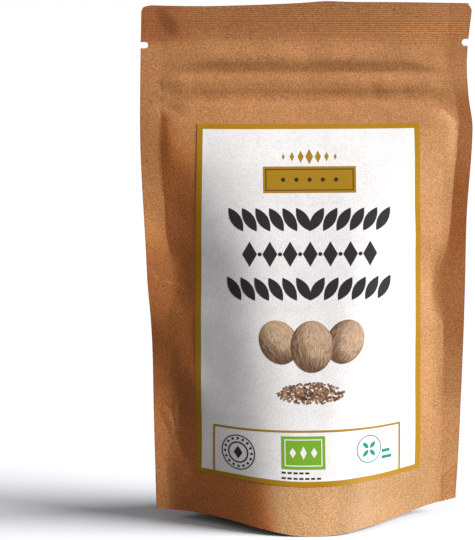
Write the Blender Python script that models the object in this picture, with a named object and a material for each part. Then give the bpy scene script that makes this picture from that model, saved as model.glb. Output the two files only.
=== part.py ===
"""A filled stand-up pouch of kraft paper film, shut and heat sealed, with a paper label.

The pouch stands on its gusset. Its two panels are welded to each other along the sides and
the top, and between them lies the swell of the contents, which is deepest at the foot. A
press-to-close strip inside shows as two hollows and a ridge under the top weld, and a tear
notch is cut into each side at the foot of that weld. A label follows the front panel.

+Z is up, the front faces -Y, and the origin is on the floor under the middle of the pouch.
The shape is worked out in millimetres and scaled to metres where a vertex is placed.
"""

import math

import bmesh
import bpy

MM = 0.001

# Driving dimensions, in millimetres
HEIGHT = 205.0
SEAL_WIDTH = 6.3
FILM = 0.6                 # thickness over a weld, where both panels lie together
LEAN = 0.04                # how far the pouch leans back for each millimetre of height
TOP_WELD = 15.6
CORNER_RADIUS = 3.0
BACK_SWELL = 0.88          # the back panel's swell as a share of the front's
NOTCH_DEPTH = 2.8
NOTCH_RADIUS = 1.1
LABEL_TOP = 157.6
LABEL_FOOT = 17.3
LABEL_TOP_WIDTH = 89.0
LABEL_FOOT_WIDTH = 94.0
LABEL_GAP = 0.3
LABEL_THICKNESS = 0.4

# The outline: each side edge's distance from the middle, by height
LEFT_EDGE = ((0, 60.8), (40, 61.6), (65, 61.8), (84, 62.8), (108, 64.2), (146, 66.2), (168, 66.0), (205, 65.2))
RIGHT_EDGE = ((0, 60.8), (33, 62.2), (90, 63.1), (121, 63.5), (155, 65.5), (169, 63.7), (184, 63.1), (205, 65.0))
# How far the front panel swells forward at its middle, by height
SWELL = (
    (0, 29.0), (10, 25.0), (25, 20.8), (50, 16.9), (85, 14.0), (115, 11.6), (140, 8.1), (157, 3.8), (168, 0.5),
    (205, 0),
)
# How far each side weld's outer edge bends back, by height; forward is negative
LEFT_BEND = ((0, 0.3), (30, 0.2), (45, 1.2), (66, 2.7), (88, 1.5), (112, -0.6), (150, 0.8), (175, 0), (205, 0))
RIGHT_BEND = ((0, 1.2), (40, 1.0), (80, -1.5), (130, -1.5), (155, -0.9), (175, 0), (205, 0))
# Each foot corner's height off the floor; the middle of the foot, as a share of the width, stands flat
LEFT_LIFT = 3.8
RIGHT_LIFT = 5.2
FLAT_HALF = 0.4

# Cuts across the slab that the pouch is bent from: (from, to, number of steps)
ROW_BANDS = ((0, 12, 3), (12, 150, 14), (150, 168, 5), (168, 184, 8), (184, 202, 3), (202, 205, 3))
BELLY_COLUMNS = 24
BASE_CUTS = (-0.92, -0.8, 0.0, 0.8, 0.92)
GROOVE = 1.8               # height of the groove between the foot's edge and the flat
TUCK = 14.0                # how high the gusset's fold rises at the side welds

KRAFT = (0.50, 0.27, 0.12, 1.0)
LABEL_PAPER = (0.90, 0.89, 0.87, 1.0)


def through(points, height):
    """The value at a height of the smooth curve through (height, value) points."""
    height = min(max(height, points[0][0]), points[-1][0])
    last = len(points) - 1
    i = 0
    while i < last - 1 and height > points[i + 1][0]:
        i += 1

    def slope(k):
        before, after = max(k - 1, 0), min(k + 1, last)
        return (points[after][1] - points[before][1]) / (points[after][0] - points[before][0])

    step = points[i + 1][0] - points[i][0]
    t = (height - points[i][0]) / step
    rise = t * t * (3 - 2 * t)
    leave = t * (1 - t) ** 2 * slope(i) * step
    arrive = t * t * (t - 1) * slope(i + 1) * step
    return points[i][1] + (points[i + 1][1] - points[i][1]) * rise + leave + arrive


def corner_inset(height):
    """How far the outline draws in for the rounded top corners."""
    over = max(height - (HEIGHT - CORNER_RADIUS), 0.0)
    return CORNER_RADIUS - math.sqrt(max(CORNER_RADIUS ** 2 - over ** 2, 0.0))


def edges(height):
    """The x of the left and the right edge at a height."""
    inset = corner_inset(height)
    return inset - through(LEFT_EDGE, height), through(RIGHT_EDGE, height) - inset


def section(share, height):
    """The swell across the belly, from 1 at the middle to 0 at the side welds."""
    flat, power = 0.22, 1.7

    def raw(s):
        return (s * s + flat * flat) ** (power / 2)

    bell = 1.0 + 0.5 * max(0.0, 1 - height / 45.0)
    return max(0.0, 1 - (raw(share) - raw(0)) / (raw(1) - raw(0))) ** bell


def zip_relief(height):
    """The press-to-close strip's ridge and the hollows on both sides of it."""
    def bump(middle, width):
        return math.exp(-((height - middle) / width) ** 2)

    return 0.9 * bump(175.1, 2.2) + 0.5 * bump(185.0, 2.5) - 0.15 * bump(180.2, 2.0) + 0.35 * bump(164, 3)


def belly(x, height):
    """How deep the front panel's swell is at a place on the panel."""
    left, right = edges(height)
    inner = (-left if x < 0 else right) - SEAL_WIDTH
    share = min(abs(x) / inner, 1.0)
    ends = 1 - share ** 6
    return through(SWELL, height) * section(share, height) + zip_relief(height) * ends


def weld_bend(x, height):
    """How far back the side welds bend at a place."""
    left, right = edges(height)
    if x < left + SEAL_WIDTH:
        return through(LEFT_BEND, height) * (left + SEAL_WIDTH - x) / SEAL_WIDTH
    if x > right - SEAL_WIDTH:
        return through(RIGHT_BEND, height) * (x - right + SEAL_WIDTH) / SEAL_WIDTH
    return 0.0


def lift(x, height):
    """How far the panel's sides sit above its middle, most at the foot's corners."""
    left, right = edges(0)
    share = min(abs(x / left) if x < 0 else x / right, 1.0)
    reach = max((share - FLAT_HALF) / (1 - FLAT_HALF), 0.0) ** 1.7
    return (LEFT_LIFT if x < 0 else RIGHT_LIFT) * reach * (1 - height / HEIGHT) ** 1.5


def middle(x, height):
    """The y of the plane between the two panels."""
    return LEAN * height + weld_bend(x, height)


def front(x, height):
    """The y of the front panel's face."""
    return middle(x, height) - FILM / 2 - belly(x, height)


def back(x, height):
    """The y of the back panel's face."""
    return middle(x, height) + FILM / 2 + BACK_SWELL * belly(x, height)


def base_rise(across, through_share):
    """The gusset's height above the foot's edge: a groove, then the flat, then the end tucks."""
    inward = 1 - abs(through_share)
    if inward == 0:
        return 0.0
    end = max((abs(across) - FLAT_HALF) / (1 - FLAT_HALF), 0.0)
    groove = GROOVE if inward < 0.15 else 0.0
    return groove + TUCK * end ** 1.5 * inward


def cuts(bands):
    """The heights between the bands' steps."""
    found = []
    for low, high, steps in bands:
        found += [low + (high - low) * i / steps for i in range(steps)]
    return found[1:]


def slice_slab(mesh, axis, places):
    """Cut a slab at each place along one axis."""
    normal = [0.0, 0.0, 0.0]
    normal[axis] = 1.0
    for place in places:
        point = [0.0, 0.0, 0.0]
        point[axis] = place
        geometry = mesh.verts[:] + mesh.edges[:] + mesh.faces[:]
        bmesh.ops.bisect_plane(mesh, geom=geometry, plane_co=point, plane_no=normal)


def slab(columns, rows, layers):
    """A cube from -1 to 1 across and through and from 0 to HEIGHT up, cut into a grid."""
    mesh = bmesh.new()
    bmesh.ops.create_cube(mesh, size=2.0)
    for vertex in mesh.verts:
        vertex.co.z = HEIGHT * (vertex.co.z + 1) / 2
    slice_slab(mesh, 0, columns)
    slice_slab(mesh, 1, layers)
    slice_slab(mesh, 2, rows)
    return mesh


def finish(mesh, name, material, collection):
    """Make an object of a mesh, shaded smooth between its sharp edges."""
    mesh.normal_update()
    bmesh.ops.recalc_face_normals(mesh, faces=mesh.faces[:])
    data = bpy.data.meshes.new(name)
    mesh.to_mesh(data)
    mesh.free()
    data.shade_smooth()
    data.set_sharp_from_angle(angle=math.radians(50))
    data.materials.append(material)
    made = bpy.data.objects.new(name, data)
    collection.objects.link(made)
    return made


def surface(name, colour, roughness):
    """A plain Principled BSDF material."""
    made = bpy.data.materials.new(name)
    made.use_nodes = True
    shader = made.node_tree.nodes["Principled BSDF"]
    shader.inputs["Base Color"].default_value = colour
    shader.inputs["Roughness"].default_value = roughness
    shader.inputs["Metallic"].default_value = 0.0
    return made


def pouch_mesh():
    """The pouch: a slab bent so that its faces follow the two panels and the gusset."""
    inner = 1 - SEAL_WIDTH / 63.0
    belly_cuts = [inner * (2 * i / BELLY_COLUMNS - 1) for i in range(BELLY_COLUMNS + 1)]
    weld_middle = (1 + inner) / 2
    mesh = slab([-weld_middle] + belly_cuts + [weld_middle], cuts(ROW_BANDS), BASE_CUTS)
    for vertex in mesh.verts:
        across, layer, height = vertex.co
        left, right = edges(height)
        x = left + (right - left) * (across + 1) / 2
        near, far = front(x, height), back(x, height)
        y = near + (far - near) * (layer + 1) / 2
        z = height + lift(x, height)
        if height == 0:
            z += base_rise(across, layer)
        vertex.co = (x * MM, y * MM, z * MM)
    return mesh


def label_width(height):
    """The label's width along the panel at a height."""
    share = (height - LABEL_FOOT) / (LABEL_TOP - LABEL_FOOT)
    return LABEL_FOOT_WIDTH + (LABEL_TOP_WIDTH - LABEL_FOOT_WIDTH) * share


def along_panel(distance, height):
    """The x that lies a distance along the front panel from its middle."""
    step = 0.25
    x, walked = 0.0, 0.0
    while walked < abs(distance):
        slant = (belly(x + step, height) - belly(x, height)) / step
        walked += step * math.hypot(1, slant)
        x += step
    x -= walked - abs(distance)
    return math.copysign(x, distance)


def label_mesh():
    """The label: a thin slab that follows the front panel."""
    columns = [2 * i / 18 - 1 for i in range(1, 18)]
    rows = [HEIGHT * i / 26 for i in range(1, 26)]
    mesh = slab(columns, rows, ())
    for vertex in mesh.verts:
        across, layer, up = vertex.co
        height = LABEL_FOOT + (LABEL_TOP - LABEL_FOOT) * up / HEIGHT
        x = along_panel(across * label_width(height) / 2, height)
        small = 0.5
        slant_x = (front(x + small, height) - front(x - small, height)) / (2 * small)
        slant_z = (front(x, height + small) - front(x, height - small)) / (2 * small)
        length = math.sqrt(1 + slant_x ** 2 + slant_z ** 2)
        proud = LABEL_GAP + (LABEL_THICKNESS if layer < 0 else 0.0)
        vertex.co = (
            (x + proud * slant_x / length) * MM,
            (front(x, height) - proud / length) * MM,
            (height + lift(x, height) + proud * slant_z / length) * MM,
        )
    return mesh


def notch_cutter(name, side, height, collection):
    """A round-ended slot that runs in from one side edge, through both panels."""
    left, right = edges(height)
    edge = left if side < 0 else right
    mesh = bmesh.new()
    bmesh.ops.create_cone(
        mesh, cap_ends=True, segments=16, radius1=NOTCH_RADIUS, radius2=NOTCH_RADIUS, depth=8.0
    )
    reach = 6.0
    for vertex in mesh.verts:
        x, z, y = vertex.co
        if x * side > 0:
            x += side * reach
        x += edge - side * (NOTCH_DEPTH - NOTCH_RADIUS)
        vertex.co = (x * MM, (y + LEAN * height) * MM, (z + height) * MM)
    cutter = finish(mesh, name, surface(name, (0.5, 0.5, 0.5, 1.0), 0.5), collection)
    cutter.hide_render = True
    cutter.display_type = "WIRE"
    return cutter


def centre(parts, guides):
    """Move parts and guides sideways together so that the parts' box stands over the origin."""
    places = [vertex.co for part in parts for vertex in part.data.vertices]
    for axis in (0, 1):
        reach = [place[axis] for place in places]
        move = -(min(reach) + max(reach)) / 2
        for each in parts + guides:
            for vertex in each.data.vertices:
                vertex.co[axis] += move


def build():
    for each in list(bpy.data.objects):
        bpy.data.objects.remove(each)
    parts = bpy.data.collections.new("kraft_pouch")
    cutters = bpy.data.collections.new("cutters")
    for collection in (parts, cutters):
        bpy.context.scene.collection.children.link(collection)

    pouch = finish(pouch_mesh(), "pouch", surface("kraft_film", KRAFT, 0.55), parts)
    label = finish(label_mesh(), "label", surface("label_paper", LABEL_PAPER, 0.45), parts)
    left_notch = notch_cutter("left_notch", -1, HEIGHT - TOP_WELD - 0.6, cutters)
    right_notch = notch_cutter("right_notch", 1, HEIGHT - TOP_WELD + 0.3, cutters)
    centre([pouch, label], [left_notch, right_notch])
    for cutter in (left_notch, right_notch):
        cut = pouch.modifiers.new(cutter.name, "BOOLEAN")
        cut.operation = "DIFFERENCE"
        cut.solver = "EXACT"
        cut.object = cutter


build()
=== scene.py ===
"""The looks of a filled kraft-paper stand-up pouch with a gold-bordered paper label.

The pouch's film and its label replace their plain solids. Both are bent from flat sheets by the
same shape functions, worked out in millimetres: x runs across, height runs up the panel, and y
is how far back a place lies. The print is drawn flat, in millimetres, and wrapped on the label.
"""

import math

import bpy
import numpy as np
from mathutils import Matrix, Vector


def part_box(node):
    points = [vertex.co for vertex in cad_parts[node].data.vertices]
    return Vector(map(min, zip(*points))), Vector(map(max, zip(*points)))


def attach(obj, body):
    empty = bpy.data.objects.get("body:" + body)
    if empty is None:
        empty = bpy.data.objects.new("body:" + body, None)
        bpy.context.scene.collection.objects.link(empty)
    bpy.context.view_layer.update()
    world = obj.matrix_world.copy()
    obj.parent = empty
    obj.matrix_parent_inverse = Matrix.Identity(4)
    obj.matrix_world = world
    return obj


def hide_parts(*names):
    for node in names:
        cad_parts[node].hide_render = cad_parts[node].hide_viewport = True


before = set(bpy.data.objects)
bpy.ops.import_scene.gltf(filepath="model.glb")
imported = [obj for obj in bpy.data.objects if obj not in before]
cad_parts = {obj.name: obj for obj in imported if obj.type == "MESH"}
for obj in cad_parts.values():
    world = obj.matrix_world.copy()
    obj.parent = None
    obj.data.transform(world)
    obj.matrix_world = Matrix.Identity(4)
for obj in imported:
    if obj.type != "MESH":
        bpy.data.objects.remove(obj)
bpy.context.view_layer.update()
for stale in ("Cube", "Light", "Camera"):
    if stale in bpy.data.objects:
        bpy.data.objects.remove(bpy.data.objects[stale])

MM = 0.001

# ---------------------------------------------------------------- dimensions, in millimetres

HEIGHT = 205.0
FILM = 0.6
LEAN = 0.04
BACK_SWELL = 0.88
WELD_FOOT = 189.3          # where the top weld ends
LEFT_RADIUS = 3.9
RIGHT_CHAMFER = (1.8, 2.6)  # the top right corner's cut, across and down

# Each list below gives (height, value) points for a smooth curve.
# The side edges, as distances from the middle
LEFT_EDGE = (
    (0, 60.8), (40, 61.6), (65, 61.9), (80, 62.6), (92, 63.6), (108, 64.3), (146, 66.0), (168, 66.0),
    (205, 65.2),
)
RIGHT_EDGE = (
    (0, 60.8), (33, 62.2), (90, 63.1), (121, 63.5), (155, 65.5), (169, 63.7), (184, 63.1), (205, 65.0),
)
# Where each side weld meets the belly, as a distance from the middle
LEFT_LINE = (
    (0, 56), (11, 56.6), (18, 56.8), (28, 55), (40, 54.2), (52, 53.6), (62, 54.8), (72, 56), (82, 55.4),
    (92, 52.4), (100, 52.8), (108, 55), (116, 56.3), (124, 56.6), (134, 57.4), (144, 58.3), (170, 58.6),
    (205, 58.6),
)
RIGHT_LINE = (
    (0, 55.5), (48, 54.8), (74, 54.9), (87, 53.0), (99, 53.4), (109, 56.3), (132, 58.2), (157, 60.0),
    (166, 58.8), (172, 57.8), (180, 58.5), (205, 60),
)
# The same lines without their wiggles, which the swell under the label follows
LEFT_SMOOTH = ((0, 56), (45, 55.5), (90, 55.5), (120, 57), (150, 58.3), (205, 58.6))
RIGHT_SMOOTH = ((0, 56), (45, 55.5), (80, 54.5), (100, 54.5), (120, 57.4), (150, 60), (205, 60.2))
# How deep the belly is in its middle
SWELL = (
    (0, 29.0), (10, 25.0), (25, 20.8), (50, 16.7), (85, 13.6), (115, 11.3), (140, 7.9), (150, 5.4),
    (157, 3.5), (163, 1.6), (167, 0.45), (171, 0), (205, 0),
)
BELLY_TOP = 164.6
# Across the belly, the shares of its half-width where the slope begins and where it is full
SLOPE_FROM = ((0, 0), (10, 0), (45, 0.02), (80, 0.15), (102, 0.2), (130, 0.15), (150, 0.12), (165, 0.1))
SLOPE_TO = ((0, 0.7), (20, 0.68), (45, 0.62), (80, 0.64), (102, 0.65), (117, 0.76), (131, 1.0), (150, 1.3))
# How much of the slope is lost where the belly runs out into each weld
LEFT_EASE = ((0, 0.1), (40, 0.1), (60, 0.1), (72, 0), (82, 0), (92, 0.35), (102, 0.5), (114, 0.1), (205, 0.1))
RIGHT_EASE = ((0, 0.1), (35, 0.3), (50, 0.6), (74, 0.6), (86, 0.95), (104, 0.95), (116, 0.55), (205, 0.4))
EASE_FROM = (0.8, 0.88)      # left and right
RIGHT_STEEPER = 0.85         # where the right flank is at its full slope, as a share of the left's
# How far back each weld's outer edge bends
LEFT_BEND = (
    (0, 0.3), (30, 0.2), (42, 0.8), (52, 2.1), (66, 2.7), (80, 2.0), (98, 0.9), (112, -0.6), (124, 0.2),
    (150, 0.8), (175, 0), (205, 0),
)
RIGHT_BEND = (
    (0, 1.2), (40, 1.1), (52, 0.1), (80, -1.5), (130, -1.5), (150, -0.9), (168, -0.8), (178, 0), (205, 0),
)
FOOT_PINCH = 0.4             # how much sharper the section is at the foot
PINCH_TOP = 45.0
LEFT_LIFT = 3.8
RIGHT_LIFT = 4.6
FLAT_HALF = 0.4              # the share of the foot's half-width that lies flat
# How much more the foot's edge curls up from the floor, by x, gone at CURL_TOP
FOOT_CURL = (
    (-61, 0), (-55, 0.5), (-48, 1.6), (-38, 2.9), (-29, 3.1), (-21, 2.3), (-13, 1.2), (-5, 0.2),
    (4, 0.2), (12, 0.7), (20, 1.6), (30, 1.8), (46, 1.85), (60, 1.4),
)
CURL_TOP = 50.0
GROOVE = 1.8                 # how far the gusset rises just inside the foot's edge
TUCK = 14.0                  # how far the gusset's ends are tucked up
# The press-to-close strip under the weld: how far the panel stands forward
STRIP = (
    (150, 0), (164.5, 0), (167.0, -0.36), (169.4, 0.0), (171.6, 0.62), (174.5, 0.78), (178, 0.15),
    (180.2, 0.7), (182.6, 1.5), (184.8, 1.5), (188.5, 0.85), (192, 0.3), (195.5, 0), (205, 0),
)
# Soft dents and bulges: how far out (a dent is below zero), x, height, reach across, reach up
DENTS = (
    (-1.4, -50, 40, 7, 9), (0.7, -49, 58, 7, 8), (-0.35, 54, 92, 4, 8), (-0.25, 26.5, 171, 2.4, 2.4),
    (-0.3, 38.6, 169.7, 3, 2.2), (-0.3, -54, 164, 4, 3),
)
# Creases: how far out (a valley is below zero), one end, the other end, reach to the sides
FOLDS = (
    (-0.8, (-57.0, 41), (-49.6, 25), 2.6),
    (-0.16, (-59.0, 175.3), (-57.2, 171), 1.1),
    (-0.2, (-58.4, 167), (-57.8, 160), 1.2),
    (-0.22, (-57.5, 166), (-48.5, 161), 2.4),
    (0.06, (-58.3, 94.8), (-55.6, 94.3), 0.6),
    (0.06, (-55.6, 94.3), (-49.2, 91.5), 0.6),
)
# Tear notches: height, depth, half the slot's width
LEFT_NOTCH = (188.8, 2.9, 1.2)
RIGHT_NOTCH = (189.7, 2.5, 1.35)
# The top edge's height above or below HEIGHT, by x
TOP_WAVE = ((-65, -0.7), (-42, -1.1), (-23, -0.7), (-3, 0.1), (7, 0.8), (17, 0.5), (36, 0.4), (63, 0))

LABEL_TOP = 158.1
LABEL_FOOT = 17.9
# The label's sides along the panel, as distances from the middle
LABEL_LEFT = ((17, 49.3), (30, 48.0), (45, 47.3), (60, 46.8), (100, 46.0), (135, 44.6), (158, 43.7))
LABEL_RIGHT = (
    (17, 49.4), (30, 48.6), (45, 47.7), (64, 47.2), (92, 46.9), (112, 46.0), (128, 44.8), (145, 44.3),
    (158, 44.0),
)
LABEL_HALF = 47.3            # half the label's usual width, by which its side border is measured
LABEL_PROUD = 0.2
SIDE_BORDER = 2.4
END_BORDER = 1.95
# The print's places, as shares across the label from -1 to 1 and down it from 0 to 1
BOX_SIDES = (-0.832, 0.79)
BOX_TOP = 0.85
BOX_LINE = 0.85              # the box's line width, in millimetres
PLATE = (0, 0.152)
GREEN_FIELD = ((-0.25, 0.863), (0.109, 0.954))
# Kernels: the middle's shares, the reach across and up in millimetres, the turn in degrees
KERNELS = ((-0.27, 0.602, 7.4, 9.0, 28), (0.29, 0.602, 7.4, 9.0, -28), (0.01, 0.615, 8.4, 10.2, 0))

RIB_PITCH = 0.777
RIB_DEPTH = 0.06
RIB_GROUPS = ((197.75, 6, 1.0), (203.7, 6, 0.5), (192.7, 4, 0.5))   # top line's height, lines, strength

SEAL_COLUMNS = 7
BELLY_COLUMNS = 108
GUSSET_CUTS = 11
# Rows: (from height, to height, number of rows)
ROW_BANDS = (
    (0, 4, 6), (4, 30, 18), (30, 150, 72), (150, 168, 26), (168, 189.1, 38), (189.1, 189.5, 2),
    (189.5, 193.2, 24), (193.2, 198.2, 33), (198.2, 200.1, 3), (200.1, 204, 26), (204, 205, 4),
)
NEAR = 1e-4                  # closer than this counts as the same place on a slab

# ---------------------------------------------------------------- light and camera

CAMERA_PLACE = (-67.24, -696.76, 211.76)     # from the pouch's middle, in millimetres
CAMERA_TURN = (math.pi / 2 - 0.1578, 0, -0.0561)
CAMERA_LENS = 119.1
# Each lamp's azimuth, elevation, energy and apparent size
KEY_LAMP = (66, 25, 5.25, 18)
FLOOR_LAMP = (81, 20, 11.3, 30)
ROOM_LIGHT = 0.31
FLOOR_SEEN = (0.66, 0.665, 0.695, 1)
FLOOR_THROWN = (0.13, 0.13, 0.13, 1)

# ---------------------------------------------------------------- shape functions


def through(points, at):
    """The smooth curve through (place, value) points, read at each place."""
    places, values = np.array(points, float).T
    last = len(places) - 1
    order = np.arange(last + 1)
    before, after = np.maximum(order - 1, 0), np.minimum(order + 1, last)
    slopes = (values[after] - values[before]) / (places[after] - places[before])
    at = np.clip(at, places[0], places[-1])
    i = np.clip(np.searchsorted(places, at) - 1, 0, last - 1)
    step = places[i + 1] - places[i]
    t = (at - places[i]) / step
    rise = t * t * (3 - 2 * t)
    leave = t * (1 - t) ** 2 * slopes[i] * step
    arrive = t * t * (t - 1) * slopes[i + 1] * step
    return values[i] + (values[i + 1] - values[i]) * rise + leave + arrive


def ramp(low, high, at):
    """0 below low, 1 above high and a smooth step between them."""
    t = np.clip((at - low) / (high - low), 0, 1)
    return t * t * (3 - 2 * t)


def patchy(x, height, size, seed):
    """Smooth random values from -1 to 1 that change over about a size."""
    grid = np.random.default_rng(seed).uniform(-1, 1, (160, 160))
    u, v = x / size + 60, height / size + 20
    i, j = np.floor(u).astype(int), np.floor(v).astype(int)
    s, t = u - i, v - j
    s, t = s * s * (3 - 2 * s), t * t * (3 - 2 * t)
    i, j = np.clip(i, 0, 158), np.clip(j, 0, 158)
    low = grid[i, j] * (1 - s) + grid[i + 1, j] * s
    high = grid[i, j + 1] * (1 - s) + grid[i + 1, j + 1] * s
    return low * (1 - t) + high * t


def hump(x, height, middle_x, middle_height, reach_x, reach_height):
    """1 at a place, falling off around it."""
    return np.exp(-((x - middle_x) / reach_x) ** 2 - ((height - middle_height) / reach_height) ** 2)


def corner_inset(height, radius):
    """How far the outline draws in for a rounded top corner."""
    over = np.maximum(height - (HEIGHT - radius), 0)
    return radius - np.sqrt(np.maximum(radius ** 2 - over ** 2, 0))


def edges(height):
    """The x of the left and the right edge at each height."""
    left = corner_inset(height, LEFT_RADIUS) - through(LEFT_EDGE, height)
    chamfer = RIGHT_CHAMFER[0] * np.maximum(1 - (HEIGHT - height) / RIGHT_CHAMFER[1], 0)
    return left, through(RIGHT_EDGE, height) - chamfer


def weld_lines(height):
    """The x of the lines where the left and the right weld meet the belly."""
    left, right = edges(height)
    left_line = np.maximum(-through(LEFT_LINE, height), left + 2)
    return left_line, np.minimum(through(RIGHT_LINE, height), right - 2)


def climb(begin, full, at):
    """The area under a smooth step that starts at begin and is 1 from full on."""
    t = np.clip((at - begin) / (full - begin), 0, 1)
    return (full - begin) * (t ** 3 - t ** 4 / 2) + np.maximum(at - full, 0)


def section(share, height, right):
    """The swell across the belly: level in the middle, rounding into flanks that ease out at the welds."""
    begin, full = through(SLOPE_FROM, height), through(SLOPE_TO, height) * np.where(right, RIGHT_STEEPER, 1.0)
    ease = np.where(right, through(RIGHT_EASE, height), through(LEFT_EASE, height))

    def fallen(s):
        return climb(begin, full, s) - ease * climb(np.where(right, EASE_FROM[1], EASE_FROM[0]), 1.0, s)

    bell = 1.0 + FOOT_PINCH * np.maximum(0.0, 1 - height / PINCH_TOP)
    return np.maximum(0.0, 1 - fallen(share) / fallen(1.0)) ** bell


def inside_lines(x, height):
    """How far inside the weld lines each place lies, round the belly's top corners too."""
    left, right = weld_lines(height)
    side = np.minimum(x - left, right - x)
    radius = np.where(x < 0, 5.0, 10.0)
    over_side, over_top = radius - side, radius - (BELLY_TOP - height)
    corner = radius - np.hypot(np.maximum(over_side, 0), np.maximum(over_top, 0))
    return np.where((over_side > 0) & (over_top > 0), corner, np.minimum(side, BELLY_TOP - height))


def base_swell(x, height):
    """The belly's broad swell."""
    left, right = weld_lines(height)
    line = np.where(x < 0, -left, right)
    even = np.where(x < 0, through(LEFT_SMOOTH, height), through(RIGHT_SMOOTH, height))
    inner = even + (line - even) * ramp(44, 52, np.abs(x))
    share = np.clip(np.abs(x) / inner, 0, 1)
    return through(SWELL, height) * section(share, height, x > 0)


def belly(x, height):
    """How deep the front panel's swell is at each place."""
    left, right = weld_lines(height)
    side = np.minimum(x - left, right - x)
    inside = np.maximum(inside_lines(x, height), 0)
    corners = 0.7 * ramp(25, 50, x) + 0.8 * ramp(38, 55, -x)
    shoulder = corners * (1 - np.exp(-(inside / 2.6) ** 2)) * ramp(135, 152, height)
    swell = np.where(side > 0, base_swell(x, height) + shoulder, 0)
    fade = 9 + 12 * ramp(178, 184, height)
    strip_ends = ramp(0, 1, (x + 58) / fade) * ramp(0, 1, (57 - x) / fade)
    uneven = 1 + 0.35 * patchy(x, height * 0.7, 15, 3)
    ends = ramp(0, 4, x - left) * ramp(0, 4, right - x)
    return swell + through(STRIP, height) * strip_ends * uneven + dents(x, height) * ends + folds(x, height)


def dents(x, height):
    """How far out the film's soft dents and bulges stand."""
    return sum(out * hump(x, height, *place) for out, *place in DENTS)


def fold(x, height, start, end, reach):
    """1 along a line between two places on the panel, falling off to both sides with a sharp middle."""
    run_x, run_h = end[0] - start[0], end[1] - start[1]
    along = ((x - start[0]) * run_x + (height - start[1]) * run_h) / (run_x ** 2 + run_h ** 2)
    along = np.clip(along, 0, 1)
    away = np.hypot(x - start[0] - along * run_x, height - start[1] - along * run_h)
    return np.exp(-away / reach)


def folds(x, height):
    """How far out the film's creases stand."""
    return sum(out * fold(x, height, *line) for out, *line in FOLDS)


def weld_bend(x, height):
    """How far back the side welds bend at each place."""
    left_edge, right_edge = edges(height)
    left, right = weld_lines(height)
    out_left = np.clip((left - x) / (left - left_edge), 0, 1)
    out_right = np.clip((x - right) / (right_edge - right), 0, 1)
    return through(LEFT_BEND, height) * out_left + through(RIGHT_BEND, height) * out_right


def lift(x, height):
    """How far the panel's sides sit above its middle, most at the foot's corners."""
    left, right = edges(0.0)
    share = np.minimum(np.where(x < 0, x / left, x / right), 1)
    reach = np.maximum((share - FLAT_HALF) / (1 - FLAT_HALF), 0) ** 1.7
    curl = through(FOOT_CURL, x) * np.clip(1 - height / CURL_TOP, 0, 1) ** 1.5
    return np.where(x < 0, LEFT_LIFT, RIGHT_LIFT) * reach * np.clip(1 - height / HEIGHT, 0, 1) ** 1.5 + curl


def middle(x, height):
    """The y of the plane between the two panels."""
    return LEAN * height + weld_bend(x, height)


def front(x, height):
    """The y of the front panel's face."""
    return middle(x, height) - FILM / 2 - belly(x, height)


def back(x, height):
    """The y of the back panel's face."""
    return middle(x, height) + FILM / 2 + BACK_SWELL * belly(x, height)


def under_label(x, height):
    """1 where the label covers the front panel, 0 well outside it."""
    inside_x = 1 - ramp(43, 46, np.abs(x))
    return inside_x * ramp(LABEL_FOOT - 3, LABEL_FOOT, height) * (1 - ramp(LABEL_TOP, LABEL_TOP + 3, height))


def ribs(height):
    """The fine ribs pressed into the top weld."""
    total = 0
    for top, lines, strength in RIB_GROUPS:
        foot = top - (lines - 1) * RIB_PITCH
        inside = (height < top + RIB_PITCH / 2) & (height > foot - RIB_PITCH / 2)
        wave = 0.5 + 0.5 * np.cos(2 * np.pi * (height - top) / RIB_PITCH)
        total = total + np.where(inside, wave * strength, 0)
    return -RIB_DEPTH * total


def film_relief(x, height):
    """Small unevenness of the film away from the label: soft crinkles and the weld's ribs."""
    soft = 0.16 * patchy(x, height, 14, 11) + 0.07 * patchy(x, height, 5, 12)
    loose = soft * (1 - under_label(x, height)) * (1 - 0.6 * ramp(WELD_FOOT - 1, WELD_FOOT + 1, height))
    left, right = weld_lines(height)
    in_belly = ramp(0, 6, x - left) * ramp(0, 6, right - x)
    return loose * in_belly + ribs(height)


def base_rise(across, through_share):
    """The gusset's height above the foot's edge: a groove, then the flat, then the end tucks."""
    inward = 1 - np.abs(through_share)
    end = np.maximum((np.abs(across) - FLAT_HALF) / (1 - FLAT_HALF), 0)
    groove = GROOVE * ramp(0, 0.05, inward) * (1 - ramp(0.12, 0.22, inward))
    return groove + TUCK * end ** 1.5 * inward


CAD_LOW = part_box("pouch")[0] / MM
LEFT_MOST = float(-max(value for place, value in LEFT_EDGE))
STAND = Vector((CAD_LOW.x - LEFT_MOST, CAD_LOW.y - float(front(np.zeros(1), np.zeros(1))[0]), CAD_LOW.z))


def stood(x, y, height):
    """Places in metres in the frame, of places in millimetres on the panels."""
    return np.stack([(x + STAND.x) * MM, (y + STAND.y) * MM, (height + STAND.z) * MM], axis=-1)


# ---------------------------------------------------------------- modelling helpers


def alone(piece=None):
    """Deselect everything, then select and activate one piece."""
    if bpy.context.object and bpy.context.object.mode != "OBJECT":
        bpy.ops.object.mode_set(mode="OBJECT")
    bpy.ops.object.select_all(action="DESELECT")
    if piece:
        piece.select_set(True)
        bpy.context.view_layer.objects.active = piece


def places_of(piece):
    """A piece's vertex places as an array."""
    places = np.empty(len(piece.data.vertices) * 3)
    piece.data.vertices.foreach_get("co", places)
    return places.reshape(-1, 3)


def place_all(piece, places):
    """Move a piece's vertices to the places given."""
    piece.data.vertices.foreach_set("co", np.ascontiguousarray(places, float).ravel())
    piece.data.update()


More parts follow.
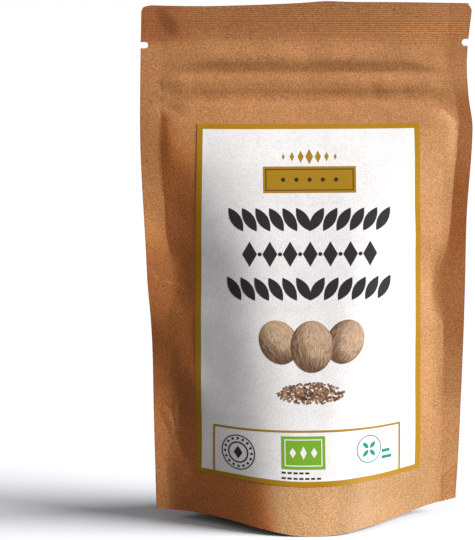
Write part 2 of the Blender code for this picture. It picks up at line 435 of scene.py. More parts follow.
def pick_edges(piece, test):
    """Select only the edges whose two end places pass a test, in edit mode."""
    alone(piece)
    bpy.ops.object.mode_set(mode="EDIT")
    bpy.ops.mesh.select_mode(type="EDGE")
    bpy.ops.mesh.select_all(action="DESELECT")
    bpy.ops.object.mode_set(mode="OBJECT")
    places = places_of(piece)
    for edge in piece.data.edges:
        first, second = (places[i] for i in edge.vertices)
        if test(first, second):
            edge.select = True
    bpy.ops.object.mode_set(mode="EDIT")


def sheet_uv(piece, name, flat):
    """Give a piece a UV map from a flat place for each vertex."""
    layer = piece.data.uv_layers.new(name=name)
    corners = np.empty(len(piece.data.loops), int)
    piece.data.loops.foreach_get("vertex_index", corners)
    layer.data.foreach_set("uv", np.ascontiguousarray(flat[corners], float).ravel())


def value_layer(piece, name, values):
    """Give a piece a named value for each vertex."""
    layer = piece.data.attributes.new(name, "FLOAT", "POINT")
    layer.data.foreach_set("value", np.ascontiguousarray(values, np.float32))


def smooth(piece, angle):
    """Turn the normals out and shade smooth, but for edges sharper than an angle."""
    alone(piece)
    bpy.ops.object.mode_set(mode="EDIT")
    bpy.ops.mesh.select_all(action="SELECT")
    bpy.ops.mesh.normals_make_consistent(inside=False)
    bpy.ops.object.mode_set(mode="OBJECT")
    bpy.ops.object.shade_smooth_by_angle(angle=math.radians(angle))


def slab(name, columns, rows):
    """A closed slab from -1 to 1 on each axis, its two panels cut into a grid."""
    alone()
    bpy.ops.mesh.primitive_grid_add(
        x_subdivisions=columns, y_subdivisions=rows, size=2, location=(0, -1, 0), rotation=(math.pi / 2, 0, 0)
    )
    piece = bpy.context.object
    piece.name = piece.data.name = name
    bpy.ops.object.transform_apply(location=True, rotation=True, scale=True)
    bpy.ops.object.mode_set(mode="EDIT")
    bpy.ops.mesh.select_all(action="SELECT")
    bpy.ops.mesh.extrude_region_move(TRANSFORM_OT_translate={"value": (0, 2, 0)})
    bpy.ops.object.mode_set(mode="OBJECT")
    return piece


def cut_out(piece, cutter):
    """Cut one piece out of another."""
    alone(piece)
    cut = piece.modifiers.new("cut", "BOOLEAN")
    cut.operation = "DIFFERENCE"
    cut.solver = "EXACT"
    cut.object = cutter
    bpy.ops.object.modifier_apply(modifier=cut.name)
    bpy.data.objects.remove(cutter)


# ---------------------------------------------------------------- the pouch


def panel_x(across, height):
    """The x of each column: some columns to each weld, the rest eased across the belly."""
    left_edge, right_edge = edges(height)
    left, right = weld_lines(height)
    total = BELLY_COLUMNS + 2 * SEAL_COLUMNS
    column = (across + 1) / 2 * total
    v = np.clip((column - SEAL_COLUMNS) / BELLY_COLUMNS * 2 - 1, -1, 1)
    eased = 0.4 * v + 0.6 * np.sin(v * np.pi / 2)
    x = left + (right - left) * (eased + 1) / 2
    in_left = column < SEAL_COLUMNS
    in_right = column > total - SEAL_COLUMNS
    x = np.where(in_left, left_edge + (left - left_edge) * column / SEAL_COLUMNS, x)
    from_right = (total - column) / SEAL_COLUMNS
    return np.where(in_right, right_edge + (right - right_edge) * from_right, x)


def row_height(up):
    """The height of each row, close together where the film has fine relief."""
    counts = np.cumsum([0] + [rows for low, high, rows in ROW_BANDS])
    heights = [ROW_BANDS[0][0]] + [high for low, high, rows in ROW_BANDS]
    return np.interp(up * counts[-1], counts, heights)


def notch(name, side, height, depth, half_width):
    """A round-ended slot to cut into one side edge."""
    left, right = edges(height)
    edge = float(left if side < 0 else right)
    alone()
    inner = edge - side * (depth - half_width)
    centre = stood(np.array(inner), np.array(LEAN * height), np.array(height))
    bpy.ops.mesh.primitive_cylinder_add(
        vertices=24, radius=half_width * MM, depth=12 * MM, location=tuple(centre),
        rotation=(math.pi / 2, 0, 0),
    )
    cutter = bpy.context.object
    cutter.name = name
    bpy.ops.object.transform_apply(location=True, rotation=True, scale=True)
    places = places_of(cutter)
    outer = (places[:, 0] - centre[0]) * side > 1e-6
    places[outer, 0] += side * 6 * MM
    place_all(cutter, places)
    return cutter


def make_pouch():
    """The pouch: a slab bent so that its faces follow the two panels and the gusset."""
    rows = sum(band[2] for band in ROW_BANDS)
    piece = slab("pouch_film", BELLY_COLUMNS + 2 * SEAL_COLUMNS, rows)
    pick_edges(piece, lambda a, b: a[2] < -1 + NEAR and b[2] < -1 + NEAR and abs(a[1] - b[1]) > 1)
    bpy.ops.mesh.subdivide(number_cuts=GUSSET_CUTS)
    bpy.ops.object.mode_set(mode="OBJECT")

    across, layer, up = places_of(piece).T
    height = row_height((up + 1) / 2)
    x = panel_x(across, height)
    relief = film_relief(x, height)
    near, far = front(x, height) - relief, back(x, height) + relief
    y = near + (far - near) * (layer + 1) / 2
    z = height + lift(x, height) + through(TOP_WAVE, x) * ramp(203.2, HEIGHT, height)
    at_foot = (height < NEAR) & (np.abs(layer) < 1 - NEAR)
    z = z + np.where(at_foot, base_rise(across, layer), 0)
    place_all(piece, stood(x, y, z))

    left_edge, right_edge = edges(height)
    top = HEIGHT - height
    sheet_uv(piece, "sheet", np.stack([x / HEIGHT + 0.5, height / HEIGHT], axis=-1))
    value_layer(piece, "rim", np.minimum(np.minimum(x - left_edge, right_edge - x), top))
    value_layer(piece, "up", height)
    value_layer(piece, "across", x)
    value_layer(piece, "face", (1 - layer) / 2)
    # The front panel's sideways turn, from which the kraft colour paints light and shade.
    slant = front(x + 0.5, height) - front(x - 0.5, height)
    value_layer(piece, "sideways", np.where(layer < -1 + NEAR, slant / np.hypot(1, slant), 0))
    cut_out(piece, notch("left_notch", -1, *LEFT_NOTCH))
    cut_out(piece, notch("right_notch", 1, *RIGHT_NOTCH))
    smooth(piece, 16)
    return piece


# ---------------------------------------------------------------- the label


def label_side(share, height):
    """How far along the panel a share of the label's half-width is, by height."""
    half = np.where(np.asarray(share) < 0, through(LABEL_LEFT, height), through(LABEL_RIGHT, height))
    return share * half


def along_panel(distance, height):
    """The x of places that lie a distance along the front panel from its middle."""
    x = distance.copy()
    steps = np.linspace(0, 1, 25)[:, None]
    for _ in range(6):
        path_x = x[None, :] * steps
        path_y = belly(path_x, np.broadcast_to(height, path_x.shape))
        pieces = np.hypot(np.diff(path_x, axis=0), np.diff(path_y, axis=0))
        walked = np.maximum(pieces.sum(axis=0), 1e-6)
        x = x * np.abs(distance) / walked
    return x


def on_panel(distance, height, proud):
    """Places that stand proud of the front panel, by distance along it and height."""
    x = along_panel(distance, height)
    small = 0.5
    slant_x = (front(x + small, height) - front(x - small, height)) / (2 * small)
    slant_z = (front(x, height + small) - front(x, height - small)) / (2 * small)
    length = np.sqrt(1 + slant_x ** 2 + slant_z ** 2)
    return stood(
        x + proud * slant_x / length,
        front(x, height) - proud / length,
        height + lift(x, height) + proud * slant_z / length,
    )


def make_label():
    """The label: a thin sheet that follows the front panel."""
    piece = slab("label_sheet", 62, 92)
    across, layer, up = places_of(piece).T
    height = LABEL_FOOT + (LABEL_TOP - LABEL_FOOT) * (up + 1) / 2
    distance = label_side(across, height)
    proud = np.where(layer < 0, LABEL_PROUD, 0.02)
    place_all(piece, on_panel(distance, height, proud))
    sheet_uv(piece, "sheet", np.stack([(across + 1) / 2, (up + 1) / 2], axis=-1))
    value_layer(piece, "across", across)
    value_layer(piece, "up", height)
    smooth(piece, 40)
    return piece


# ---------------------------------------------------------------- the print, drawn flat in millimetres


def take(name, shapes):
    """Join flat shapes into one named piece."""
    alone(shapes[0])
    for shape in shapes[1:]:
        shape.select_set(True)
    if len(shapes) > 1:
        bpy.ops.object.join()
    piece = bpy.context.object
    piece.name = piece.data.name = name
    return piece


def disc(x, y, reach_x, reach_y, turn=0.0, points=32):
    """A flat oval."""
    alone()
    bpy.ops.mesh.primitive_circle_add(vertices=points, radius=1, fill_type="NGON")
    shape = bpy.context.object
    shape.scale = (reach_x, reach_y, 1)
    shape.rotation_euler = (0, 0, math.radians(turn))
    shape.location = (x, y, 0)
    bpy.ops.object.transform_apply(location=True, rotation=True, scale=True)
    return shape


def leaf(x, y, length, width, turn=0.0):
    """A flat leaf, pointed at both ends."""
    shape = disc(0, 0, 1, 1, points=20)
    places = places_of(shape)
    places[:, 0] *= (1 - places[:, 1] ** 2) ** 0.5 * width / 2
    places[:, 1] *= length / 2
    place_all(shape, places)
    shape.rotation_euler = (0, 0, math.radians(turn))
    shape.location = (x, y, 0)
    alone(shape)
    bpy.ops.object.transform_apply(location=True, rotation=True, scale=True)
    return shape


def bar(x, y, width, height):
    """A flat upright rectangle."""
    alone()
    bpy.ops.mesh.primitive_plane_add(size=1)
    shape = bpy.context.object
    shape.scale = (width, height, 1)
    shape.location = (x, y, 0)
    bpy.ops.object.transform_apply(location=True, rotation=True, scale=True)
    return shape


def outline(shape, width):
    """Keep only a line of a width along a flat shape's rim."""
    alone(shape)
    bpy.ops.object.mode_set(mode="EDIT")
    bpy.ops.mesh.select_mode(type="FACE")
    bpy.ops.mesh.select_all(action="SELECT")
    bpy.ops.mesh.inset(thickness=width)
    bpy.ops.mesh.delete(type="FACE")
    bpy.ops.object.mode_set(mode="OBJECT")
    return shape


def at(s, t):
    """The flat place of shares across the label, from -1 to 1, and down it, from 0 to 1."""
    height = LABEL_TOP - (LABEL_TOP - LABEL_FOOT) * t
    return float(label_side(s, height)), height


def printed(piece, proud=0.05):
    """Cut a flat piece finely, wrap it on the label and give it the thickness of ink."""
    alone(piece)
    flat = places_of(piece)
    bpy.ops.object.mode_set(mode="EDIT")
    for axis in (0, 1):
        low, high = flat[:, axis].min(), flat[:, axis].max()
        count = int((high - low) / 2.5)
        for i in range(1, count + 1):
            point, normal = [0, 0, 0], [0, 0, 0]
            point[axis] = low + (high - low) * i / (count + 1)
            normal[axis] = 1
            bpy.ops.mesh.select_all(action="SELECT")
            bpy.ops.mesh.bisect(plane_co=point, plane_no=normal)
    bpy.ops.object.mode_set(mode="OBJECT")
    flat = places_of(piece)
    place_all(piece, on_panel(flat[:, 0], flat[:, 1], LABEL_PROUD + proud + np.zeros(len(flat))))
    wall = piece.modifiers.new("ink", "SOLIDIFY")
    wall.thickness = (proud + 0.02) * MM
    wall.offset = -1
    bpy.ops.object.modifier_apply(modifier=wall.name)
    bpy.ops.object.shade_smooth_by_angle(angle=math.radians(30))
    return piece


def post(top, low, width):
    """A flat line of a width from one place down to another, level at both ends."""
    shape = bar((top[0] + low[0]) / 2, (top[1] + low[1]) / 2, width, top[1] - low[1])
    places = places_of(shape)
    share = (places[:, 1] - low[1]) / (top[1] - low[1])
    places[:, 0] += (share - 0.5) * (top[0] - low[0])
    place_all(shape, places)
    return shape


def make_box_lines():
    """The thin gold box at the label's foot."""
    foot = 1 - END_BORDER / (LABEL_TOP - LABEL_FOOT)
    (left, top), (right, top) = (at(side, BOX_TOP) for side in BOX_SIDES)
    shapes = [bar((left + right) / 2, top, right - left + BOX_LINE, BOX_LINE)]
    shapes += [post(at(side, BOX_TOP), at(side, foot), BOX_LINE) for side in BOX_SIDES]
    return printed(take("print_gold_box", shapes))


def make_plate():
    """A plain gold plate under a row of small gold lozenges."""
    x, y = at(*PLATE)
    shapes = [bar(x, y, 36.5, 10.2)]
    for i in range(-3, 4):
        grow = 1 - abs(i) / 5
        shapes.append(disc(i * 3.4, y + 8.8, 1.5 * grow, 2.9 * grow, points=4))
    return printed(take("print_gold_plate", shapes))


def make_plate_line():
    """The plate's thin dark line and its row of dots."""
    x, y = at(*PLATE)
    shapes = [outline(bar(x, y, 34.6, 8.3), 0.3)]
    shapes += [disc(i * 5.2, y, 0.8, 0.8, points=16) for i in range(-2, 3)]
    return printed(take("print_plate_line", shapes), 0.1)


def make_title():
    """Three rows of an ornament in charcoal: leaves that lean towards the middle, and lozenges."""
    shapes = []
    for t, reach, count in ((0.2615, 0.70, 12), (0.454, 0.70, 12)):
        x, y = at(reach, t)
        for i in range(count):
            place = (2 * (i + 0.5) / count - 1) * x
            lean = 32 if place < 0 else -32
            shapes.append(leaf(place, y, 10.6, 4.3, lean))
    x, y = at(0.6, 0.357)
    for i in range(7):
        place = (2 * (i + 0.5) / 7 - 1) * x
        shapes.append(disc(place, y, 2.9, 4.9, points=4))
        if i < 6:
            shapes.append(disc(place + x / 7, y, 0.8, 0.8, points=12))
    return printed(take("print_title", shapes))


def make_round_emblem():
    """A dark round emblem: two rings with dots between them and a lozenge inside."""
    x, y = at(-0.615, 0.92)
    shapes = [outline(disc(x, y, 7.2, 7.2, points=48), 0.45), outline(disc(x, y, 4.4, 4.4, points=40), 0.6)]
    for i in range(16):
        turn = 2 * math.pi * i / 16
        shapes.append(disc(x + 5.7 * math.cos(turn), y + 5.7 * math.sin(turn), 0.55, 0.55, points=10))
    shapes.append(disc(x, y, 1.9, 2.6, points=4))
    return printed(take("print_round_emblem", shapes))


def green_box():
    """The green field's middle, width and height."""
    (left, top), (right, low) = (at(*corner) for corner in GREEN_FIELD)
    return (left + right) / 2, (top + low) / 2, right - left, top - low


def make_green_field():
    """A plain green field."""
    return printed(take("print_green_field", [bar(*green_box())]))


def make_green_marks():
    """White marks on the green field: a frame and three lozenges."""
    x, y, width, height = green_box()
    shapes = [outline(bar(x, y, width - 2.4, height - 2.4), 0.4)]
    shapes += [disc(x + i * 4.2, y, 1.3, 2.6 - 0.6 * abs(i), points=4) for i in (-1, 0, 1)]
    return printed(take("print_green_marks", shapes), 0.1)


def make_small_lines():
    """Two rows of short dark dashes under the green field."""
    shapes = []
    for t, count in ((0.9635, 5), (0.9785, 7)):
        x, y = at(GREEN_FIELD[0][0], t)
        for i in range(count):
            shapes.append(bar(x + 1.1 + i * 2.3, y, 1.6, 0.75))
    return printed(take("print_small_lines", shapes))


def make_teal_emblem():
    """A teal round emblem: a ring with four leaves, and two short bars beside it."""
    x, y = at(0.49, 0.91)
    shapes = [outline(disc(x, y, 5.6, 5.6, points=48), 0.4)]
    for i in range(4):
        turn = math.pi / 4 + math.pi / 2 * i
        shapes.append(leaf(x + 2.2 * math.cos(turn), y + 2.2 * math.sin(turn), 3.6, 1.7, 45 + 90 * i + 90))
    shapes.append(bar(x + 7.9, y - 1.6, 3.8, 1.3))
    shapes.append(bar(x + 8.4, y - 4.2, 4.8, 1.3))
    return printed(take("print_teal_emblem", shapes))


def make_kernels():
    """Three tan kernels in a fan, each with its own flat map for shading."""
    made = []
    for i, (s, t, reach_x, reach_y, turn) in enumerate(KERNELS):
        x, y = at(s, t)
        shape = disc(x, y, reach_x, reach_y, turn, points=40)
        piece = take(f"print_kernel_{i + 1}", [shape])
        flat = places_of(piece) - np.array([x, y, 0])
        angle = math.radians(-turn)
        local_x = (flat[:, 0] * math.cos(angle) - flat[:, 1] * math.sin(angle)) / reach_x
        local_y = (flat[:, 0] * math.sin(angle) + flat[:, 1] * math.cos(angle)) / reach_y
        sheet_uv(piece, "local", np.stack([local_x / 2 + 0.5, local_y / 2 + 0.5], axis=-1))
        made.append(printed(piece, 0.05 + 0.03 * i))
    return made


def make_grains():
    """A scatter of small brown grains under the kernels."""
    chance = np.random.default_rng(5)
    x, y = at(0.0, 0.745)
    shapes = []
    for _ in range(420):
        turn, reach = chance.uniform(0, 2 * math.pi), chance.uniform(0, 1) ** 0.6
        size = chance.uniform(0.35, 0.75)
        shapes.append(disc(
            x + 13 * reach * math.cos(turn), y + 4.2 * reach * math.sin(turn),
            size, size * chance.uniform(0.6, 1), chance.uniform(0, 180), points=6,
        ))
    return printed(take("print_grains", shapes))


# ---------------------------------------------------------------- shader wiring


class Wire:
    """A shader socket that sums can be written with."""

    def __init__(self, graph, socket):
        self.graph, self.socket = graph, socket

    def maths(self, operation, *others):
        values = dict(enumerate((self,) + others))
        return self.graph.add("ShaderNodeMath", {"operation": operation}, values)

    def __add__(self, other):
        return self.maths("ADD", other)

    __radd__ = __add__

    def __mul__(self, other):
        return self.maths("MULTIPLY", other)

    __rmul__ = __mul__

    def __sub__(self, other):
        return self.maths("SUBTRACT", other)

    def __rsub__(self, other):
        return self.graph.add("ShaderNodeMath", {"operation": "SUBTRACT"}, {0: other, 1: self})

    def __truediv__(self, other):
        return self.maths("DIVIDE", other)

    def __pow__(self, other):
        return self.maths("POWER", other)

    def __lt__(self, other):
        return self.maths("LESS_THAN", other)

    def __gt__(self, other):
        return self.maths("GREATER_THAN", other)

    def step(self, low, high):
        """0 at low, 1 at high, smooth between; high may be the smaller."""
        inputs = {"Value": self, "From Min": low, "From Max": high}
        if low > high:
            inputs = {"Value": self, "From Min": high, "From Max": low, "To Min": 1.0, "To Max": 0.0}
        return self.graph.add("ShaderNodeMapRange", {"interpolation_type": "SMOOTHSTEP"}, inputs)


class Graph:
    """One material and the nodes behind its Principled BSDF."""

    def __init__(self, name, roughness, specular=0.5):
        self.material = bpy.data.materials.new(name)
        self.material.use_nodes = True
        self.tree = self.material.node_tree
        self.shader = self.tree.nodes["Principled BSDF"]
        self.shader.inputs["Roughness"].default_value = roughness
        self.shader.inputs["Specular IOR Level"].default_value = specular

    def add(self, kind, settings=None, inputs=None, output=0):
        """Any node: its settings first, then what its sockets hold or are linked to."""
        node = self.tree.nodes.new(kind)
        for key, value in (settings or {}).items():
            setattr(node, key, value)
        for key, value in (inputs or {}).items():
            if isinstance(value, Wire):
                self.tree.links.new(value.socket, node.inputs[key])
            else:
                node.inputs[key].default_value = value
        return Wire(self, node.outputs[output])

    def feed(self, socket, wire):
        """Drive one of the shader's own sockets."""
        self.tree.links.new(wire.socket, self.shader.inputs[socket])

    def mix(self, factor, first, second, blend="MIX"):
        """Mix two colours."""
        settings = {"data_type": "RGBA", "blend_type": blend, "clamp_factor": True}
        return self.add("ShaderNodeMix", settings, {0: factor, 6: first, 7: second}, 2)

    def value(self, name):
        """A named value of the piece's own."""
        return self.add("ShaderNodeAttribute", {"attribute_name": name}, output=2)

    def place(self):
        """Object coordinates, in metres."""
        return self.add("ShaderNodeTexCoord", output=3)

    def stretch(self, vector, scale, turn=(0, 0, 0)):
        """Coordinates turned and scaled."""
        return self.add("ShaderNodeMapping", None, {"Vector": vector, "Rotation": turn, "Scale": scale})

    def noise(self, vector, scale, detail=2.0, rough=0.5):
        """Noise from 0 to 1."""
        inputs = {"Vector": vector, "Scale": scale, "Detail": detail, "Roughness": rough}
        return self.add("ShaderNodeTexNoise", None, inputs)

    def bump(self, height, distance, strength):
        """Relief that feeds the shader's normal."""
        inputs = {"Height": height, "Distance": distance, "Strength": strength}
        self.feed("Normal", self.add("ShaderNodeBump", None, inputs))


def colour(red, green, blue):
    """A colour with full alpha."""
    return (red, green, blue, 1.0)


# ---------------------------------------------------------------- materials


# Marks on the front panel, three of them painted shade in creases and a dent: middle, reach across and up,
# lean, fall, softness, strength, colour
MARKS_AND_PAINTED_SHADE = (
    ((-55, 197.6), (4.6, 6.8), 0.55, 0.0, 1.0, 0.75, (0.18, 0.060, 0.016)),       # top left corner's smudge
    ((-57.6, 172.6), (1.6, 3.6), 0.0, 0.0, 1.0, 0.35, (0.22, 0.085, 0.022)),      # painted shade in the crease beside the strip
    ((-52.5, 163.2), (6.5, 5.5), -0.4, 0.0, 1.0, 0.35, (0.26, 0.115, 0.035)),     # painted shade in the crease at the left shoulder
    ((-47, 48), (8, 15), 0.1, 0.0, 1.0, 0.4, (0.34, 0.10, 0.022)),                # painted shade in the left flank's dent
    ((33.9, 202.4), (0.42, 0.42), 0.0, 0.0, 0.4, 1.0, (0.09, 0.012, 0.008)),      # a speck on the weld
    ((-61.9, 166.6), (0.34, 0.34), 0.0, 0.0, 0.5, 1.0, (0.16, 0.03, 0.012)),      # a speck on the left edge
    ((51.5, 42.5), (1.1, 0.3), 0.0, 0.0, 0.6, 0.8, (0.16, 0.06, 0.02)),           # a dark fibre
    ((-55.2, 94.3), (2.6, 0.24), 0.0, 0.18, 0.7, 0.6, (0.80, 0.46, 0.24)),        # a worn crease
    ((-50.4, 92.6), (3.2, 0.24), 0.0, 0.42, 0.7, 0.6, (0.80, 0.46, 0.24)),        # its other half
)


def kraft():
    """Brown kraft paper: flecks, fibres, tone that wanders, a darker weld and rim, and marks, with painted
    light and shade: colours by which way the panel faces, a painted shadow on the lower left side, and
    painted shade in the rib grooves, in creases and in a dent.
    """
    g = Graph("kraft_paper", 0.55, 0.35)
    place = g.place()
    up, across, rim, face = g.value("up"), g.value("across"), g.value("rim"), g.value("face")

    fleck = g.noise(place, 1900, 1, 0.5) - 0.5
    fine = g.noise(place, 3400, 0) - 0.5
    fibre = g.noise(g.stretch(place, (900, 900, 2100), (0, math.radians(40), 0)), 1.0, 1) - 0.5
    cloud = g.noise(place, 45, 3, 0.55)
    broad = g.noise(place, 14, 2, 0.5)
    grain = fleck * 1.35 + fine * 1.3 + fibre * 0.5
    tone = grain * 0.84 + (cloud - 0.5) * 0.30 + (broad - 0.5) * 0.22

    # Painted light and shade: the colour follows which way the front panel faces, lighter and yellower where
    # it turns right towards the key lamp, deeper and redder where it turns left away from it; towards the
    # foot the front-facing colour is paler, a painted highlight, and the right-facing one darker.
    sideways = g.value("sideways")
    foot = up.step(36, 12) * across.step(56, 46)
    painted_front_tone = g.mix(foot, colour(0.485, 0.208, 0.072), colour(0.58, 0.315, 0.137))
    painted_right_light = g.mix(foot, colour(0.53, 0.254, 0.097), colour(0.43, 0.23, 0.092))
    base = g.mix(sideways.step(0.04, 0.30), painted_front_tone, painted_right_light)
    base = g.mix((sideways + foot * 0.16).step(-0.04, -0.30), base, colour(0.55, 0.168, 0.038))
    # Painted shadow: the deep red colour of the shaded film laid on the lower left side, where the belly's
    # shadow falls.
    painted_shadow_lower_left = across.step(-47, -53) * up.step(132, 104) * 0.7
    base = g.mix(painted_shadow_lower_left, base, colour(0.52, 0.170, 0.042))
    base = g.mix(across.step(10, 40) * up.step(180, 185) * 0.6, base, colour(0.41, 0.175, 0.058))
    weld = up.step(187, 193.5)
    base = g.mix(weld, base, colour(0.375, 0.148, 0.045))
    base = g.mix(weld * across.step(12, 45) * 0.8, base, colour(0.45, 0.183, 0.058))
    weld_end = weld * across.step(-38, -58) * 0.85
    base = g.mix(weld_end, base, colour(0.33, 0.095, 0.025))
    # Painted shade in the weld's rib grooves and painted light between them.
    shade = 1.0
    for top, lines, share in RIB_GROUPS:
        lowest = top - (lines - 1) * RIB_PITCH
        wave = ((up - top) * (2 * math.pi / RIB_PITCH)).maths("COSINE")
        band = (up > lowest - RIB_PITCH / 2) * (up < top + RIB_PITCH / 2)
        shade = shade - wave * band * (share * 0.42)
    base = g.mix(1.0, base, shade, "MULTIPLY")
    base = g.mix(across.step(55.6, 56.2) * up.step(176, 182) * 0.3, base, colour(0.36, 0.115, 0.034))
    on_front = face > 0.5
    for (x, height), (reach_x, reach_height), lean, fall, soft, strength, tint in MARKS_AND_PAINTED_SHADE:
        aside = (across - x + (up - height) * lean) / reach_x
        above = (up - height + (across - x) * fall) / reach_height
        inside = (aside * aside + above * above).step(1.0, 1.0 - soft)
        base = g.mix(inside * on_front * strength, base, colour(*tint))
    base = g.mix(rim.step(0.6, 0.1) * 0.55, base, colour(0.32, 0.095, 0.018))

    light = g.mix((tone + 0.5).maths("MAXIMUM", 0.0), colour(0.56, 0.47, 0.38), colour(1.44, 1.53, 1.62))
    base = g.mix(1.0, base, light, "MULTIPLY")
    g.feed("Base Color", base)
    g.bump(grain, 0.00005, 0.6)
    return g.material


GOLD = colour(0.41, 0.215, 0.011)
CHARCOAL = colour(0.030, 0.026, 0.027)
WHITE = colour(0.88, 0.87, 0.87)


def label_paper():
    """White label paper with a gold border."""
    g = Graph("label_paper", 0.45, 0.2)
    place = g.place()
    across, up = g.value("across"), g.value("up")
    side = (1 - across.maths("ABSOLUTE")) * LABEL_HALF
    end = (up - LABEL_FOOT).maths("MINIMUM", LABEL_TOP - up)
    grain = g.noise(place, 1900, 1)
    cloud = g.noise(place, 170, 3, 0.6)
    tone = (grain - 0.5) * 3.0 + (cloud - 0.5) * 1.3 + 0.5
    white = g.mix(tone, colour(0.80, 0.782, 0.778), colour(0.968, 0.94, 0.933))
    blur = 0.07
    at_end = end.step(END_BORDER + blur, END_BORDER - blur)
    border = side.step(SIDE_BORDER + blur, SIDE_BORDER - blur).maths("MAXIMUM", at_end)
    sheen = g.noise(g.stretch(place, (60, 60, 400)), 1.0, 2)
    gold = g.mix(sheen, colour(0.40, 0.203, 0.005), colour(0.455, 0.232, 0.010))
    g.feed("Base Color", g.mix(border, white, gold))
    g.bump(grain, 0.00003, 0.4)
    return g.material


def ink(name, tint, spread=0.08):
    """Printed ink with a little unevenness."""
    g = Graph(name, 0.45, 0.18)
    cloud = g.noise(g.place(), 1500, 1)
    light = tuple(min(1.0, part * (1 + spread) + 0.002) for part in tint[:3]) + (1.0,)
    dark = tuple(part * (1 - spread) for part in tint[:3]) + (1.0,)
    g.feed("Base Color", g.mix(cloud, dark, light))
    return g.material


def kernel_ink():
    """Tan kernels, shaded as if round, with fine veins from end to end."""
    g = Graph("ink_kernel", 0.45)
    local = g.add("ShaderNodeUVMap", {"uv_map": "local"})
    parts = [g.add("ShaderNodeSeparateXYZ", None, {0: local}, i) for i in (0, 1)]
    x, y = (parts[0] - 0.5) * 2, (parts[1] - 0.5) * 2
    reach = x * x + y * y
    depth = (1 - reach).maths("MAXIMUM", 0.0) ** 0.5
    lit = (x * 0.45 + y * 0.45 + depth * 0.78).maths("MAXIMUM", 0.0)
    meridian = x / (1.04 - y * y).maths("MAXIMUM", 0.05) ** 0.5
    warp = g.noise(local, 5, 3) - 0.5
    stretched = g.add("ShaderNodeCombineXYZ", None, {0: meridian * 5 + warp * 2.4, 1: y * 0.9, 2: 0.0})
    veins = 1 - (g.noise(stretched, 1.9, 2, 0.5) - 0.5).maths("ABSOLUTE") * 9
    tone = lit * 0.72 + 0.30 - veins.maths("MAXIMUM", 0.0) * 0.42
    base = g.mix(tone.step(0.0, 1.05), colour(0.13, 0.06, 0.03), colour(0.69, 0.47, 0.30))
    g.feed("Base Color", base)
    return g.material


def grain_ink():
    """Brown grains, each in its own tone."""
    g = Graph("ink_grain", 0.5)
    cells = g.add("ShaderNodeTexVoronoi", None, {"Vector": g.place(), "Scale": 900.0}, 1)
    pick = g.add("ShaderNodeSeparateXYZ", None, {0: cells})
    g.feed("Base Color", g.mix(pick, colour(0.09, 0.035, 0.02), colour(0.42, 0.22, 0.12)))
    return g.material


# ---------------------------------------------------------------- the stage


def by_ray(tree, kind, seen, thrown, output):
    """Give the camera's rays one shader and all other rays another; each is its inputs' values."""
    path = tree.nodes.new("ShaderNodeLightPath")
    mix = tree.nodes.new("ShaderNodeMixShader")
    tree.links.new(path.outputs["Is Camera Ray"], mix.inputs[0])
    for slot, values in enumerate((thrown, seen), start=1):
        shader = tree.nodes.new(kind)
        for key, value in values.items():
            shader.inputs[key].default_value = value
        tree.links.new(shader.outputs[0], mix.inputs[slot])
    tree.links.new(mix.outputs[0], tree.nodes.new(output).inputs["Surface"])


def make_floor():
    """A plain pale floor that stays white under the lamp and throws little light back."""
    alone()
    bpy.ops.mesh.primitive_plane_add(size=6, location=(0, 0, 0))
    floor = bpy.context.object
    floor.name = "floor"
    material = bpy.data.materials.new("floor_white")
    material.use_nodes = True
    tree = material.node_tree
    tree.nodes.clear()
    seen, thrown = {"Color": FLOOR_SEEN}, {"Color": FLOOR_THROWN}
    by_ray(tree, "ShaderNodeBsdfDiffuse", seen, thrown, "ShaderNodeOutputMaterial")
    floor.data.materials.append(material)
    return floor


def make_world():
    """White behind, and a dimmer even light all round."""
    world = bpy.data.worlds.new("studio")
    bpy.context.scene.world = world
    world.use_nodes = True
    tree = world.node_tree
    tree.nodes.clear()
    white = (1, 1, 1, 1)
    seen, thrown = {"Color": white, "Strength": 1.0}, {"Color": white, "Strength": ROOM_LIGHT}
    by_ray(tree, "ShaderNodeBackground", seen, thrown, "ShaderNodeOutputWorld")


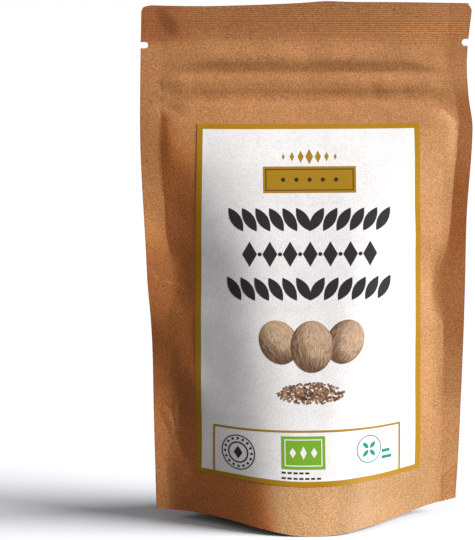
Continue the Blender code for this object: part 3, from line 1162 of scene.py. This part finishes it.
def make_lamp(name, azimuth, elevation, energy, angle, lit):
    """A far soft lamp, by its direction and size in degrees, for the pieces it lights."""
    azimuth, elevation = math.radians(azimuth), math.radians(elevation)
    level = math.cos(elevation)
    toward = Vector((math.sin(azimuth) * level, -math.cos(azimuth) * level, math.sin(elevation)))
    lamp = bpy.data.lights.new(name, "SUN")
    lamp.energy = energy
    lamp.angle = math.radians(angle)
    holder = bpy.data.objects.new(name, lamp)
    bpy.context.scene.collection.objects.link(holder)
    holder.location = toward
    holder.rotation_euler = toward.to_track_quat("Z", "Y").to_euler()
    receivers = bpy.data.collections.new(name + "_lit")
    for piece in lit:
        receivers.objects.link(piece)
    holder.light_linking.receiver_collection = receivers


def make_camera():
    """The camera, a little above and to the left of the pouch."""
    camera = bpy.data.cameras.new("camera")
    camera.lens = CAMERA_LENS
    camera.clip_start = 0.02
    holder = bpy.data.objects.new("camera", camera)
    bpy.context.scene.collection.objects.link(holder)
    holder.location = [(stand + place) * MM for stand, place in zip(STAND, CAMERA_PLACE)]
    holder.rotation_euler = CAMERA_TURN
    bpy.context.scene.camera = holder


# ---------------------------------------------------------------- putting it together


def dress(piece, material):
    """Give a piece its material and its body."""
    piece.data.materials.clear()
    piece.data.materials.append(material)
    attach(piece, "root")


make_camera()
pouch = make_pouch()
dress(pouch, kraft())
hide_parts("pouch")
label = make_label()
dress(label, label_paper())
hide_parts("label")

gold_ink = ink("ink_gold", GOLD)
charcoal_ink = ink("ink_charcoal", CHARCOAL)
for piece in (make_box_lines(), make_plate()):
    dress(piece, gold_ink)
for piece in (make_plate_line(), make_title(), make_round_emblem(), make_small_lines()):
    dress(piece, charcoal_ink)
dress(make_green_field(), ink("ink_green", colour(0.20, 0.42, 0.028)))
dress(make_green_marks(), ink("ink_white", WHITE, 0.03))
dress(make_teal_emblem(), ink("ink_teal", colour(0.012, 0.25, 0.20)))
tan_ink = kernel_ink()
for piece in make_kernels():
    dress(piece, tan_ink)
dress(make_grains(), grain_ink())

floor = make_floor()
make_world()
pieces = [piece for piece in bpy.data.objects if piece.type == "MESH" and piece != floor]
make_lamp("key", *KEY_LAMP, pieces)
make_lamp("side", *FLOOR_LAMP, [floor])
bpy.context.scene.view_settings.view_transform = "Standard"
